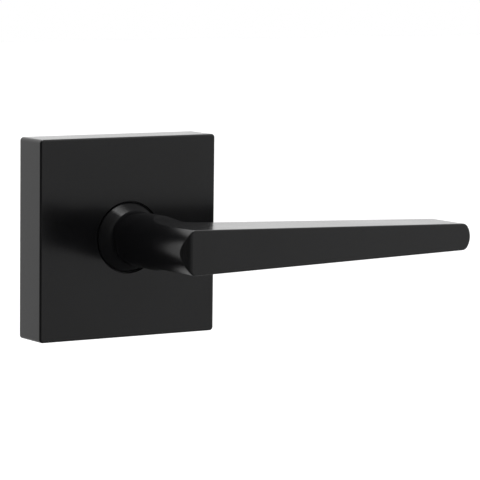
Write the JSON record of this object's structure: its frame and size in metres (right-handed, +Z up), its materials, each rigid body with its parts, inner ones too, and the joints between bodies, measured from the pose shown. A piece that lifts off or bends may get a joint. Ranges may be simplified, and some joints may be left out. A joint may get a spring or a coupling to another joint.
{
  "type": "door lever handle",
  "caption": "Door lever with a tapered flat arm on a round neck, on a thick square rose that hides its fixings; sprung to return to level.",
  "frame": {"origin": "centre of the rose's back, on the door's face, on the axis that the lever turns about", "axes": "+X along the lever to its tip, +Y into the door, +Z up"},
  "size_m": [0.1337, 0.107, 0.065],
  "materials": {
    "satin_black": "satin black powder coat",
    "zinc_plated_steel": "bright zinc plate",
    "spring_steel": "oiled spring steel",
    "dark_screw_steel": "black oxide",
    "white_nylon": "moulded nylon",
    "black_nylon": "moulded nylon",
    "foam": "closed-cell foam sheet"
  },
  "bodies": {
    "rose": {"rose_cover": "satin_black", "mounting_plate": "zinc_plated_steel", "door_gasket": "foam", "cover_screws": "dark_screw_steel", "fixing_post_upper": "zinc_plated_steel", "fixing_post_lower": "zinc_plated_steel", "stop_pins": "zinc_plated_steel", "neck_bushing": "white_nylon", "rose_bearing_ring": "black_nylon", "thrust_washer": "zinc_plated_steel", "return_spring": "spring_steel"},
    "lever": {"lever_handle": "satin_black", "spindle_hub": "zinc_plated_steel", "drive_cam": "zinc_plated_steel", "retaining_ring": "spring_steel", "spindle": "zinc_plated_steel", "spindle_pin": "spring_steel", "lever_set_screw": "dark_screw_steel"}
  },
  "joints": [
    {"name": "lever_turn", "type": "hinge", "parent": "rose", "child": "lever", "pos_m": [0, 0, 0], "axis": [0, 1, 0], "range_deg": [-50, 50], "stiffness_Nm_per_rad": 2, "springref_deg": -2.29, "deforming": ["return_spring"]}
  ]
}
